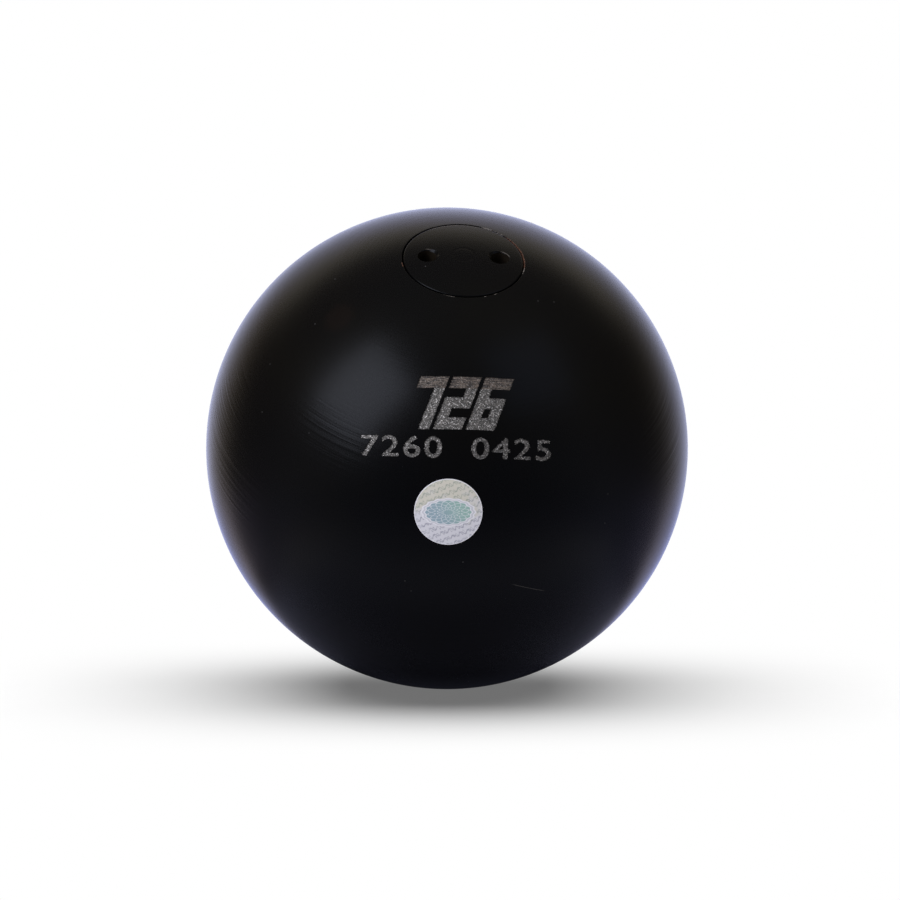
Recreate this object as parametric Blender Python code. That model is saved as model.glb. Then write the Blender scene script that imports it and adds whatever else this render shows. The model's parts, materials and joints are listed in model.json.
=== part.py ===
# Shot put ball of turned cast iron, with a screw plug set flush over its ballast bore.
# Metres, +Z up. The origin is the ball's centre, and the viewer stands on the -Y side.
# Every turned piece is drawn on a local axis, the plug's axis, with local Z running out
# through the plug. The empty named plug_axis then leans that axis to where it lies at rest.

import math

import bmesh
import bpy

# Driving dimensions
BALL_DIAMETER = 0.125
PLUG_TILT = math.radians(31.2)
PLUG_SWING = math.radians(7.4)
PLUG_CLOCKING = math.radians(-3.8)

THREAD_DIAMETER = 0.024
THREAD_PITCH = 0.002
SHOULDER_WIDTH = 0.003
PLUG_RIM_DEPTH = 0.0065
SHANK_LENGTH = 0.018
SHANK_CHAMFER = 0.0012
UNDERCUT_LENGTH = 0.0035
UNDERCUT_DEPTH = 0.0003
NOSE_DIAMETER = 0.012
NOSE_LENGTH = 0.003
THREAD_RUN_OUT = 0.002
MOUTH_CHAMFER = 0.0006
EDGE_BREAK = 0.00025

SPANNER_HOLE_DIAMETER = 0.0047
SPANNER_HOLE_SPACING = 0.0183
SPANNER_HOLE_DEPTH = 0.0055
SPANNER_HOLE_CHAMFER = 0.0003

WASHER_THICKNESS = 0.0015
WASHER_BORE_CLEARANCE = 0.00025
DISC_THICKNESS = 0.003
DISC_CHAMFER = 0.0005
PACKING_LENGTH = 0.008
PACKING_CHAMFER = 0.0008
PELLET_LAYERS = 3
DRILL_POINT_ANGLE = math.radians(118.0)

SEAL_DIAMETER = 0.0167
SEAL_THICKNESS = 0.0002
SEAL_DROP = math.radians(6.5)
SEAL_SWING = math.radians(0.3)

# Clearances
SEAM_CLEARANCE = 0.0003
FIT_GAP = 0.0003

# Fineness of the facets
TURN_STEPS = 72
BALL_ARC_STEPS = 40
CAP_ARC_STEPS = 5
HOLE_STEPS = 24
SEAL_STEPS = 48
SEAL_ARC_STEPS = 4
PELLETS_IN_LAYER = 3
PELLET_SUBDIVISIONS = 3
SHARP_ANGLE = math.radians(30.0)

# Radii that follow from the thread
BALL_RADIUS = BALL_DIAMETER / 2
HEAD_RADIUS = THREAD_DIAMETER / 2 + SHOULDER_WIDTH
PORT_RADIUS = HEAD_RADIUS + SEAM_CLEARANCE
THREAD_DEPTH = 0.6134 * THREAD_PITCH
PITCH_RADIUS = THREAD_DIAMETER / 2 - 0.3248 * THREAD_PITCH
SHANK_RADIUS = PITCH_RADIUS - FIT_GAP / 2
TAPPED_RADIUS = PITCH_RADIUS + FIT_GAP / 2
UNDERCUT_RADIUS = THREAD_DIAMETER / 2 - THREAD_DEPTH - UNDERCUT_DEPTH
DRILL_RADIUS = (THREAD_DIAMETER - THREAD_PITCH) / 2
LOOSE_RADIUS = DRILL_RADIUS - FIT_GAP
WASHER_OUTER_RADIUS = HEAD_RADIUS
WASHER_INNER_RADIUS = THREAD_DIAMETER / 2 + WASHER_BORE_CLEARANCE


def ball_height(radius):
    """Height of the ball's surface over its centre, at a distance from the axis."""
    return math.sqrt(BALL_RADIUS ** 2 - radius ** 2)


# Heights along the plug's axis, from the flush rim down into the bore
PORT_RIM = ball_height(PORT_RADIUS)
PLUG_RIM = ball_height(HEAD_RADIUS)
SHOULDER = PLUG_RIM - PLUG_RIM_DEPTH
WASHER_TOP = SHOULDER - FIT_GAP
WASHER_FOOT = WASHER_TOP - WASHER_THICKNESS
SEAT = WASHER_FOOT - FIT_GAP
SHANK_END = SHOULDER - SHANK_LENGTH
NOSE_END = SHANK_END - NOSE_LENGTH
THREAD_END = SHANK_END - THREAD_RUN_OUT
DISC_TOP = NOSE_END - FIT_GAP
DISC_FOOT = DISC_TOP - DISC_THICKNESS
PACKING_TOP = DISC_FOOT - FIT_GAP
PACKING_FOOT = PACKING_TOP - PACKING_LENGTH

# Lead pellets: three to a layer, each clear of the wall and of its neighbours by FIT_GAP
TRIAD = 2 / math.sqrt(3)
PELLET_RADIUS = (LOOSE_RADIUS - FIT_GAP / math.sqrt(3)) / (1 + TRIAD)
PELLET_CENTRES = 2 * PELLET_RADIUS + FIT_GAP
PELLET_CIRCLE = PELLET_CENTRES / math.sqrt(3)
LAYER_PITCH = math.sqrt(PELLET_CENTRES ** 2 - PELLET_CIRCLE ** 2)
TOP_LAYER = PACKING_FOOT - FIT_GAP - PELLET_RADIUS
BOTTOM_PELLET = TOP_LAYER - PELLET_LAYERS * LAYER_PITCH

# The drill's point holds the lowest pellet, and the bore is as deep as its filling
POINT_HALF_ANGLE = DRILL_POINT_ANGLE / 2
BORE_TIP = BOTTOM_PELLET - (PELLET_RADIUS + FIT_GAP) / math.sin(POINT_HALF_ANGLE)
BORE_FLOOR = BORE_TIP + DRILL_RADIUS / math.tan(POINT_HALF_ANGLE)


def clear_scene():
    for item in list(bpy.data.objects):
        bpy.data.objects.remove(item, do_unlink=True)


def make_material(name, colour, roughness, metallic):
    material = bpy.data.materials.new(name)
    material.use_nodes = True
    shader = material.node_tree.nodes["Principled BSDF"]
    shader.inputs["Base Color"].default_value = (*colour, 1.0)
    shader.inputs["Roughness"].default_value = roughness
    shader.inputs["Metallic"].default_value = metallic
    return material


def make_empty(name, rotation):
    empty = bpy.data.objects.new(name, None)
    empty.rotation_euler = rotation
    bpy.context.collection.objects.link(empty)
    return empty


def make_object(name, shape, parent, material=None):
    """Turn a bmesh into a smooth-shaded object on its parent empty."""
    bmesh.ops.recalc_face_normals(shape, faces=shape.faces)
    mesh = bpy.data.meshes.new(name)
    shape.to_mesh(mesh)
    shape.free()
    mesh.shade_smooth()
    mesh.set_sharp_from_angle(angle=SHARP_ANGLE)
    if material:
        mesh.materials.append(material)
    item = bpy.data.objects.new(name, mesh)
    item.parent = parent
    bpy.context.collection.objects.link(item)
    return item


def turned(profile, steps):
    """Spin a profile of (radius, height) points about local Z into a closed solid."""
    shape = bmesh.new()
    points = [shape.verts.new((radius, 0.0, height)) for radius, height in profile]
    edges = [shape.edges.new(pair) for pair in zip(points, points[1:])]
    bmesh.ops.spin(
        shape,
        geom=points + edges,
        cent=(0.0, 0.0, 0.0),
        axis=(0.0, 0.0, 1.0),
        angle=math.tau,
        steps=steps,
        use_merge=True,
    )
    bmesh.ops.remove_doubles(shape, verts=shape.verts, dist=1e-7)
    return shape


def ball_arc(start_radius, end_radius, steps, sphere_radius=BALL_RADIUS):
    """Points on a sphere's upper half, from one distance off the axis to another."""
    start = math.asin(start_radius / sphere_radius)
    end = math.asin(end_radius / sphere_radius)
    angles = [start + (end - start) * step / steps for step in range(steps + 1)]
    return [(sphere_radius * math.sin(angle), sphere_radius * math.cos(angle)) for angle in angles]


def make_ball(parent, material):
    """The turned ball: a sphere with a counterbore, a tapped length and a drilled bore."""
    lip_radius = PORT_RADIUS + EDGE_BREAK
    lip_angle = math.asin(lip_radius / BALL_RADIUS)
    outside = []
    for step in range(BALL_ARC_STEPS + 1):
        angle = math.pi - (math.pi - lip_angle) * step / BALL_ARC_STEPS
        outside.append((max(BALL_RADIUS * math.sin(angle), 0.0), BALL_RADIUS * math.cos(angle)))
    outside[0] = (0.0, -BALL_RADIUS)
    port = [
        (PORT_RADIUS, PORT_RIM - EDGE_BREAK),
        (PORT_RADIUS, SEAT),
        (TAPPED_RADIUS + MOUTH_CHAMFER, SEAT),
        (TAPPED_RADIUS, SEAT - MOUTH_CHAMFER),
        (TAPPED_RADIUS, THREAD_END),
        (DRILL_RADIUS, THREAD_END - (TAPPED_RADIUS - DRILL_RADIUS)),
        (DRILL_RADIUS, BORE_FLOOR),
        (0.0, BORE_TIP),
    ]
    return make_object("ball_body", turned(outside + port, TURN_STEPS), parent, material)


def spanner_hole_cutter(name, offset, parent):
    """A drilled pin hole with a countersunk mouth, set to one side of the plug's axis."""
    radius = SPANNER_HOLE_DIAMETER / 2
    mouth = ball_height(SPANNER_HOLE_SPACING / 2)
    floor = mouth - SPANNER_HOLE_DEPTH
    reach = BALL_RADIUS - mouth + SPANNER_HOLE_DIAMETER
    profile = [
        (0.0, mouth + reach),
        (radius + SPANNER_HOLE_CHAMFER + reach, mouth + reach),
        (radius, mouth - SPANNER_HOLE_CHAMFER),
        (radius, floor),
        (0.0, floor - radius / math.tan(POINT_HALF_ANGLE)),
    ]
    cutter = make_object(name, turned(profile, HOLE_STEPS), parent)
    cutter.location = (offset, 0.0, 0.0)
    cutter.hide_render = True
    cutter.display_type = "WIRE"
    return cutter


def make_plug(parent, material):
    """The screw plug: a head turned to the ball's own curve, a shank and a pressing nose."""
    crown = ball_arc(0.0, HEAD_RADIUS - EDGE_BREAK, CAP_ARC_STEPS)
    lower = [
        (HEAD_RADIUS, PLUG_RIM - EDGE_BREAK),
        (HEAD_RADIUS, SHOULDER),
        (UNDERCUT_RADIUS, SHOULDER),
        (UNDERCUT_RADIUS, SHOULDER - UNDERCUT_LENGTH),
        (SHANK_RADIUS, SHOULDER - UNDERCUT_LENGTH - (SHANK_RADIUS - UNDERCUT_RADIUS)),
        (SHANK_RADIUS, SHANK_END + SHANK_CHAMFER),
        (SHANK_RADIUS - SHANK_CHAMFER, SHANK_END),
        (NOSE_DIAMETER / 2, SHANK_END),
        (NOSE_DIAMETER / 2, NOSE_END),
        (0.0, NOSE_END),
    ]
    plug = make_object("screw_plug", turned(crown + lower, TURN_STEPS), parent, material)
    plug.rotation_euler = (0.0, 0.0, PLUG_CLOCKING)
    for side, offset in (("left", -SPANNER_HOLE_SPACING / 2), ("right", SPANNER_HOLE_SPACING / 2)):
        cutter = spanner_hole_cutter("spanner_hole_" + side, offset, plug)
        cut = plug.modifiers.new("Spanner hole " + side, "BOOLEAN")
        cut.operation = "DIFFERENCE"
        cut.solver = "EXACT"
        cut.object = cutter
    return plug


def make_washer(parent, material):
    """The sealing washer that the plug's shoulder presses on the seat."""
    ring = [
        (WASHER_INNER_RADIUS, WASHER_TOP),
        (WASHER_OUTER_RADIUS, WASHER_TOP),
        (WASHER_OUTER_RADIUS, WASHER_FOOT),
        (WASHER_INNER_RADIUS, WASHER_FOOT),
        (WASHER_INNER_RADIUS, WASHER_TOP),
    ]
    return make_object("sealing_washer", turned(ring, TURN_STEPS), parent, material)


def make_disc(parent, material):
    """The pressure disc under the plug's nose."""
    profile = [
        (0.0, DISC_TOP),
        (LOOSE_RADIUS - DISC_CHAMFER, DISC_TOP),
        (LOOSE_RADIUS, DISC_TOP - DISC_CHAMFER),
        (LOOSE_RADIUS, DISC_FOOT + DISC_CHAMFER),
        (LOOSE_RADIUS - DISC_CHAMFER, DISC_FOOT),
        (0.0, DISC_FOOT),
    ]
    return make_object("pressure_disc", turned(profile, TURN_STEPS), parent, material)


def make_packing(parent, material):
    """The rubber packing that keeps the pellets from rattling."""
    profile = [
        (0.0, PACKING_TOP),
        (LOOSE_RADIUS - PACKING_CHAMFER, PACKING_TOP),
        (LOOSE_RADIUS, PACKING_TOP - PACKING_CHAMFER),
        (LOOSE_RADIUS, PACKING_FOOT + PACKING_CHAMFER),
        (LOOSE_RADIUS - PACKING_CHAMFER, PACKING_FOOT),
        (0.0, PACKING_FOOT),
    ]
    return make_object("rubber_packing", turned(profile, TURN_STEPS), parent, material)


def pellet_places():
    """One pellet in the drill's point, then layers of three, each turned half a step."""
    places = [(0.0, 0.0, BOTTOM_PELLET)]
    for layer in range(PELLET_LAYERS):
        height = BOTTOM_PELLET + (layer + 1) * LAYER_PITCH
        for place in range(PELLETS_IN_LAYER):
            angle = math.tau * (place + layer / 2) / PELLETS_IN_LAYER
            places.append((PELLET_CIRCLE * math.cos(angle), PELLET_CIRCLE * math.sin(angle), height))
    return places


def make_pellets(parent, material):
    shape = bmesh.new()
    bmesh.ops.create_icosphere(shape, subdivisions=PELLET_SUBDIVISIONS, radius=PELLET_RADIUS)
    first = None
    for number, place in enumerate(pellet_places(), start=1):
        name = "lead_pellet_%02d" % number
        if first is None:
            pellet = make_object(name, shape, parent, material)
            first = pellet
        else:
            pellet = bpy.data.objects.new(name, first.data)
            pellet.parent = parent
            bpy.context.collection.objects.link(pellet)
        pellet.location = place


def make_seal(material):
    """The round foil seal, a thin disc bent to the ball and facing the viewer."""
    inner = BALL_RADIUS + FIT_GAP
    outer = inner + SEAL_THICKNESS
    half_width = SEAL_DIAMETER / 2
    face = ball_arc(0.0, half_width, SEAL_ARC_STEPS, outer)
    back = ball_arc(half_width, 0.0, SEAL_ARC_STEPS, inner)
    aim = make_empty("seal_axis", (math.pi / 2 + SEAL_DROP, 0.0, SEAL_SWING))
    return make_object("foil_seal", turned(face + back, SEAL_STEPS), aim, material)


def build():
    clear_scene()
    black_coat = make_material("Black satin coat", (0.0035, 0.0035, 0.0042), 0.32, 0.0)
    washer_fibre = make_material("Red fibre", (0.20, 0.045, 0.03), 0.7, 0.0)
    zinc_steel = make_material("Turned steel", (0.45, 0.44, 0.42), 0.35, 1.0)
    dark_rubber = make_material("Dark rubber", (0.02, 0.02, 0.02), 0.75, 0.0)
    lead = make_material("Dull lead", (0.22, 0.23, 0.25), 0.55, 1.0)
    foil = make_material("Iridescent foil", (0.62, 0.60, 0.66), 0.28, 0.8)

    plug_axis = make_empty("plug_axis", (PLUG_TILT, 0.0, PLUG_SWING))
    make_ball(plug_axis, black_coat)
    make_plug(plug_axis, black_coat)
    make_washer(plug_axis, washer_fibre)
    make_disc(plug_axis, zinc_steel)
    make_packing(plug_axis, dark_rubber)
    make_pellets(plug_axis, lead)
    make_seal(foil)


build()
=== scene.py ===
# Looks of the shot put ball: the finish of every piece, the engraving, the screw threads and
# the foil seal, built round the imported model. Metres, +Z up, the viewer on the -Y side.

import json
import math

import bmesh
import bpy
from mathutils import Euler, Matrix, Quaternion, Vector, noise
from mathutils.bvhtree import BVHTree


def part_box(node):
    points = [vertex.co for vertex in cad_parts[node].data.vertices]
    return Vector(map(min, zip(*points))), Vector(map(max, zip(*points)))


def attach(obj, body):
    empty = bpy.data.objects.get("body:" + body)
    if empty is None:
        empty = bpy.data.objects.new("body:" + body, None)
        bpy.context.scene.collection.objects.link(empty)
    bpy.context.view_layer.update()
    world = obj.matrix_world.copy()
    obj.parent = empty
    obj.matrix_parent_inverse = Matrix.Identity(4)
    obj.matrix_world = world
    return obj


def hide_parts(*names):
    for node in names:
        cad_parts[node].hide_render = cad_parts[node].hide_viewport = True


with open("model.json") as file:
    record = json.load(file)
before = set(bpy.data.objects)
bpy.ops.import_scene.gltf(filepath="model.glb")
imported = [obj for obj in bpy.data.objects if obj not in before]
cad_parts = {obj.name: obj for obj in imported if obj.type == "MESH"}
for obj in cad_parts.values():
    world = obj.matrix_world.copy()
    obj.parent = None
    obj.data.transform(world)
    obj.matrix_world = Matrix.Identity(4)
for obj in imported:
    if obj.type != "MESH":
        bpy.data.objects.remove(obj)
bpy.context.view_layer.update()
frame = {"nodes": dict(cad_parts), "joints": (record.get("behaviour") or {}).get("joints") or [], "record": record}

# Sizes that the frame gives
MOUNTS = {mount["name"]: mount for mount in frame["record"]["mounts"]}
JOINTS = {joint["name"]: joint for joint in frame["joints"]}
BALL_RADIUS = -MOUNTS["rest_point"]["pos_m"][2]
PLUG_AXIS = Vector(JOINTS["plug_turn"]["axis"]).normalized()
PLUG_TILT = math.acos(PLUG_AXIS.z)
PLUG_SWING = math.atan2(PLUG_AXIS.x, -PLUG_AXIS.y)
TO_PLUG_AXIS = Euler((PLUG_TILT, 0.0, PLUG_SWING)).to_matrix().to_4x4()

# Sizes of the plug and its port, as in the part's source
THREAD_DIAMETER = 0.024
THREAD_PITCH = 0.002
SHOULDER_WIDTH = 0.003
PLUG_RIM_DEPTH = 0.0065
SHANK_LENGTH = 0.018
UNDERCUT_LENGTH = 0.0035
NOSE_RADIUS = 0.006
NOSE_LENGTH = 0.003
THREAD_RUN_OUT = 0.002
WASHER_THICKNESS = 0.0015
SEAM_CLEARANCE = 0.0003
FIT_GAP = 0.0003
SPANNER_HOLE_RADIUS = 0.00235
SPANNER_HOLE_OFFSET = 0.00915
SPANNER_HOLE_DEPTH = 0.0055
PLUG_CLOCKING = math.radians(-3.8)
EDGE_BREAK = 0.00022
PLUG_EDGE_BREAK = 0.0004

HEAD_RADIUS = THREAD_DIAMETER / 2 + SHOULDER_WIDTH
PORT_RADIUS = HEAD_RADIUS + SEAM_CLEARANCE
DRILL_RADIUS = (THREAD_DIAMETER - THREAD_PITCH) / 2
UNDERCUT_RADIUS = 0.01047
THREAD_CREST = THREAD_DIAMETER / 2 - 0.00005
THREAD_ROOT = 0.01075
TAP_CREST = THREAD_DIAMETER / 2 + 0.0001
TAP_ROOT = 0.0106
TAP_FLANK_CLEARANCE = 0.0001

# The photograph's view
PHOTO_WIDTH = 900
BALL_CENTRE_PX = (447.0, 448.3)
OUTLINE_RADIUS_PX = 240.9
CAMERA_ELEVATION = math.radians(8.0)
CAMERA_DISTANCE = 1.0
SENSOR_WIDTH = 36.0

# Marks cut through the coat: block figures over a row of plain ones
ENGRAVING_DEPTH = 0.00022
MARK_REACH = 0.0006
RASTER_LINE = 0.0002
RASTER_DRIFT = 0.0001
RASTER_WANDER = 60.0
RASTER_UNEVEN = 0.9
RAGGED_GRAIN = 0.77
RAGGED_SEED = 1
RAGGED_EDGE = (0.2, 0.15)
ENGRAVING_ROUGHNESS = 0.00004
BLOCK_TEXT = "726"
BLOCK_HEIGHT = 0.0132
BLOCK_WIDTH = 0.0230
BLOCK_SLANT = 0.37
BLOCK_GAP = 0.0009
BLOCK_POST = 0.0027
BLOCK_BAR = 0.0030
BLOCK_PX = (457.5, 402.5)
BLOCK_TURN = math.radians(-0.8)
BLOCK_TOP_BAND = 0.0030
BLOCK_STROKES = {
    "2": ("top", "upper right", "middle", "lower left", "bottom"),
    "6": ("top", "upper left", "middle", "lower left", "lower right", "bottom"),
    "7": ("top", "upper right", "lower right"),
}
ROW_TEXT = "7260  0425"
ROW_HEIGHT = 0.0053
ROW_WIDTH = 0.0468
ROW_WEIGHT = 0.00014
ROW_SPACING = 1.12
ROW_PX = (456.5, 447.6)
ROW_TURN = math.radians(-1.6)

# Foil seal
SEAL_RADIUS = 0.00835
SEAL_LIFT = 0.00004
SEAL_THICKNESS = 0.00008
SEAL_PLACING = Euler((math.radians(96.5), 0.0, math.radians(0.3))).to_matrix().to_4x4()
SEAL_ROW_SLOPE = math.radians(22.0)
SEAL_ROW_PITCH = 0.00175
SEAL_WAVE = 0.0010
ROSETTE_HALF_LENGTH = 0.0058
ROSETTE_HALF_HEIGHT = 0.0031
# Each wavy line of the rosette: its radius, swing, petals and turn
ROSETTE_LINES = (
    (0.72, 0.16, 8, 0.0), (0.72, 0.16, 8, math.pi), (0.34, 0.13, 8, 0.0), (0.34, 0.13, 8, math.pi),
)
ROSETTE_LINE_WIDTH = 0.035

# Small shapes that the solids leave out
SEAT_CORNER = 0.0003
TAP_MOUTH = 0.0004
COATED_WALL = 0.0006
SHOULDER_CHAMFER = 0.0003
HOLE_COUNTERSINK = 0.0003
DRILL_REACH = 0.004
NOSE_CHAMFER = 0.0004
CENTRE_RING_RADIUS = 0.0026
CENTRE_RING_WIDTH = 0.0004
CENTRE_RING_DEPTH = 0.00003
LOOSE_RADIUS = DRILL_RADIUS - FIT_GAP
WASHER_BORE = THREAD_DIAMETER / 2 + 0.00025
POINT_HALF_ANGLE = math.radians(59.0)
PELLETS = 10
PELLET_DENTS = 260.0
PELLET_DENT_DEPTH = 0.012
PELLET_SPREAD = 900.0

# Fineness
TURN_STEPS = 256
RING_TURN_STEPS = 192
SEAL_TURN_STEPS = 160
SMALL_TURN_STEPS = 96
BALL_RINGS = 120
CROWN_RINGS = 90
SEAL_RINGS = 16
PELLET_SUBDIVISIONS = 4
TABLE_STEPS = 96
THREAD_STEPS = 72
SHARP_ANGLE = math.radians(32.0)

# Specks, wear and painted highlights, where the photograph has them; a size is a spot's radius and how ragged it
# is
# Dusty specks; the last spot is a painted glint on a small dent in the plug's face
DUST_AND_GLINT_PX = (
    (605, 523), (309, 433), (270, 364), (357, 380), (335, 279), (463, 562), (608, 494), (405, 581),
    (262, 412), (411, 591), (315, 324), (554, 302), (538, 301), (425.4, 266.3),
)
DUST_AND_GLINT_SIZE = (0.00019, 0.0001)
STAIN_PX = ((339, 317),)
STAIN_SIZE = (0.0050, 0.006)
SPOT_GRAIN = 2600.0
RUSTED_SEAM_PX = (((505, 239), (525.5, 267)), ((404, 262), (404.8, 266)))
WORN_SEAM_PX = (
    ((481, 229.5), (500, 235.5)), ((524.5, 268), (524, 274)), ((443, 296), (454, 298)),
    ((484.5, 296.8), (486.5, 296.5)), ((494.5, 295), (497, 294.3)),
)
# Painted highlight along the plug's top edge, in the colour of bare metal
PLUG_EDGE_HIGHLIGHT_PX = (((432, 229), (479, 228.5)),)
SEAM_EDGE_WIDTH = 0.00022
# Painted highlights: lighter patches on the rims of the spanner holes
PIN_RIM_HIGHLIGHT_PX = ((429, 246.5), (506.5, 254))
PIN_RIM_HIGHLIGHT_SIZE = (0.0017, 0.0006)
PIN_RIM_WIDTH = 0.0002
SCRATCH_PX = ((511, 584), (546, 591))
SCRATCH_WIDTH = 0.00012
WEAR_HEIGHT = 0.00004
COAT_GRAIN_HEIGHT = 0.0000012

# Lathe rings under the coat: the coarse and the fine feed with their heights, and where the
# photograph has deeper rings, how wide and how much deeper
TURNING_RINGS = ((0.0009, 0.000008), (0.00032, 0.000003))
RING_WANDER = 1.6
DEEPER_RINGS = (
    (((330, 438),), (0.013, 0.002), 5.0),
    (((228, 410), (236, 480), (664, 436)), (0.014, 0.002), 7.0),
)

# Coat and foil colours
COAT_IOR = 1.15


def tone(red, green, blue):
    """A colour given as a screen shows it, as the linear colour that a shader reads."""
    shares = [value / 255 for value in (red, green, blue)]
    return tuple(s / 12.92 if s <= 0.04045 else ((s + 0.055) / 1.055) ** 2.4 for s in shares) + (1.0,)


WHITE = (1.0, 1.0, 1.0, 1.0)
COAT_COLOUR = (0.0011, 0.0011, 0.0013, 1.0)
COAT_COLOUR_WARM = (0.0014, 0.0013, 0.0012, 1.0)
# Colour of the dusty specks and of the painted glint on the dent
DUST_AND_GLINT_COLOUR = tone(84, 82, 80)
STAIN_COLOUR = tone(80, 52, 40)
SCRATCH_COLOUR = tone(96, 92, 88)
# Bare metal at the seam, also the colour of the painted highlights
WORN_AND_HIGHLIGHT_COLOUR = tone(122, 114, 106)
RUST_COLOUR = tone(74, 50, 38)
# The foil's painted shimmer runs from the cream above to the lavender below
FOIL_CREAM = tone(180, 174, 160)
FOIL_LAVENDER = tone(187, 184, 187)
FOIL_LIGHT = tone(201, 198, 200)
FOIL_INK_GREEN = tone(142, 146, 134)
FOIL_INK_GREY = tone(143, 141, 149)
ROSETTE_BLUE = tone(124, 143, 150)
ROSETTE_GREEN = tone(129, 157, 147)

# Table and lights
TABLE_RADIUS = 12.0
TABLE_FADE = (0.24, 0.40)
# Painted light over the table's shadow: about its middle line the white share rises from 0.16 within 10 mm to 1 at
# 75 mm before or behind
SHADOW_MIDDLE = -0.012
SHADOW_PAINTED_LIFT = (0.010, 0.075, 0.16, 1.0)
TABLE_MIRRORED = (0.052, 0.096, 0.055, 1.0)
TABLE_MIRRORED_MIDDLE = -0.014
TABLE_MIRRORED_DEPTH = 0.8
BALL_RIM = 0.8 * BALL_RADIUS
TABLE_COLOUR = (0.80, 0.80, 0.80, 1.0)
TABLE_COLOUR_PATCH = (0.82, 0.82, 0.82, 1.0)
# Painted shade: a darker, bluer copy of the table's colour that only the coat's reflections see
TABLE_COLOUR_SHADED_IN_MIRROR = (0.49, 0.50, 0.70, 1.0)
PANEL_HEIGHT = 0.95
PANEL_SIZE = 2.0
PANEL_BRIGHTNESS = 2.4
SOFTBOXES = (
    (
        "left_softbox", (-0.620, -0.604, 0.502), 1.5, 0.88, 1.0, 7.8, (0.94, 1.0, 1.20),
        math.radians(-32.0),
    ),
    ("right_softbox", (0.580, -0.524, 0.624), 1.5, 0.9, 0.8, 0.75, (0.75, 0.95, 1.60)),
)

# What the coat mirrors, from straight towards the viewer (-1) to straight behind the ball (1)
ROOM_STEPS = (
    (-1.00, (0.19, 0.20, 0.24)), (-0.62, (0.45, 0.47, 0.56)), (-0.40, (0.58, 0.59, 0.70)),
    (-0.10, (0.39, 0.39, 0.48)), (0.10, (0.25, 0.24, 0.31)), (0.30, (0.17, 0.16, 0.19)),
    (0.48, (0.14, 0.13, 0.15)), (0.62, (0.40, 0.36, 0.34)), (0.76, (0.85, 0.80, 0.86)),
    (0.87, (1.28, 1.31, 1.76)), (0.96, (1.58, 1.68, 2.42)), (1.00, (1.65, 1.78, 2.60)),
)
# Tints of that room: each colour, and the stretches of direction over which it comes in
TOWARDS_TABLE = ("rise", -0.06, -0.22)
ROOM_TINTS = {
    "warm above": ((1.06, 0.97, 0.68, 1.0), ("above", -0.15, 0.35), ("behind", 0.76, 0.60)),
    "cool before": (
        (2.75, 2.60, 2.20, 1.0),
        ("above", -0.25, -0.48), ("behind", -0.25, -0.85), ("above", -0.50, -0.68, 1.0, 0.42),
    ),
    "table sheen": (
        (2.45, 2.40, 2.45, 1.0),
        ("behind", -0.10, 0.36), ("behind", 0.84, 0.60), TOWARDS_TABLE, ("rise", -0.66, -0.44),
    ),
    "blue table": ((0.97, 1.0, 1.25, 1.0), TOWARDS_TABLE),
    "far table": ((0.76, 0.76, 0.76, 1.0), ("behind", 0.78, 0.88), TOWARDS_TABLE),
    "warm left": ((1.07, 1.0, 0.87, 1.0), ("right", -0.25, -0.70)),
}
# The bright strip high behind the ball
STRIP_PLACE = (("behind", 0.34, 0.62), ("behind", 0.95, 0.82), ("above", 0.42, 0.62))
STRIP_STEPS = (
    (0.50, (1.15, 1.03, 0.78)), (0.66, (1.15, 1.03, 0.80)), (0.78, (1.30, 1.26, 1.62)),
    (0.90, (1.45, 1.48, 1.95)),
)


def ball_height(radius):
    return math.sqrt(BALL_RADIUS ** 2 - radius ** 2)


PLUG_RIM = ball_height(HEAD_RADIUS)
SHOULDER = PLUG_RIM - PLUG_RIM_DEPTH
SEAT = SHOULDER - 2 * FIT_GAP - WASHER_THICKNESS
SHANK_END = SHOULDER - SHANK_LENGTH
NOSE_END = SHANK_END - NOSE_LENGTH
THREAD_END = SHANK_END - THREAD_RUN_OUT


# Camera and the place of a photograph's pixel on the ball

def view_axes():
    """The camera's right, up and back directions."""
    back = Vector((0.0, -math.cos(CAMERA_ELEVATION), math.sin(CAMERA_ELEVATION)))
    up = Vector((0.0, math.sin(CAMERA_ELEVATION), math.cos(CAMERA_ELEVATION)))
    return Vector((1.0, 0.0, 0.0)), up, back


def focal_px():
    return OUTLINE_RADIUS_PX / math.tan(math.asin(BALL_RADIUS / CAMERA_DISTANCE))


def on_ball(pixel):
    """Where the photograph's pixel meets the ball."""
    right, up, back = view_axes()
    across = pixel[0] - BALL_CENTRE_PX[0]
    rise = BALL_CENTRE_PX[1] - pixel[1]
    ray = (right * across + up * rise - back * focal_px()).normalized()
    eye = back * CAMERA_DISTANCE
    middle = -ray.dot(eye)
    nearest = eye + ray * middle
    return nearest - ray * math.sqrt(BALL_RADIUS ** 2 - nearest.length_squared)


def make_camera():
    back = view_axes()[2]
    data = bpy.data.cameras.new("camera")
    data.sensor_width = SENSOR_WIDTH
    data.lens = focal_px() * SENSOR_WIDTH / PHOTO_WIDTH
    data.shift_x = (PHOTO_WIDTH / 2 - BALL_CENTRE_PX[0]) / PHOTO_WIDTH
    data.shift_y = -(PHOTO_WIDTH / 2 - BALL_CENTRE_PX[1]) / PHOTO_WIDTH
    data.clip_start = 0.01
    data.clip_end = 50.0
    camera = placed("camera", data)
    camera.location = back * CAMERA_DISTANCE
    camera.rotation_mode = "QUATERNION"
    camera.rotation_quaternion = (-back).to_track_quat("-Z", "Y")
    bpy.context.scene.camera = camera


# Modelling helpers

def placed(name, data):
    """A new object of the scene."""
    item = bpy.data.objects.new(name, data)
    bpy.context.scene.collection.objects.link(item)
    return item


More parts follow.
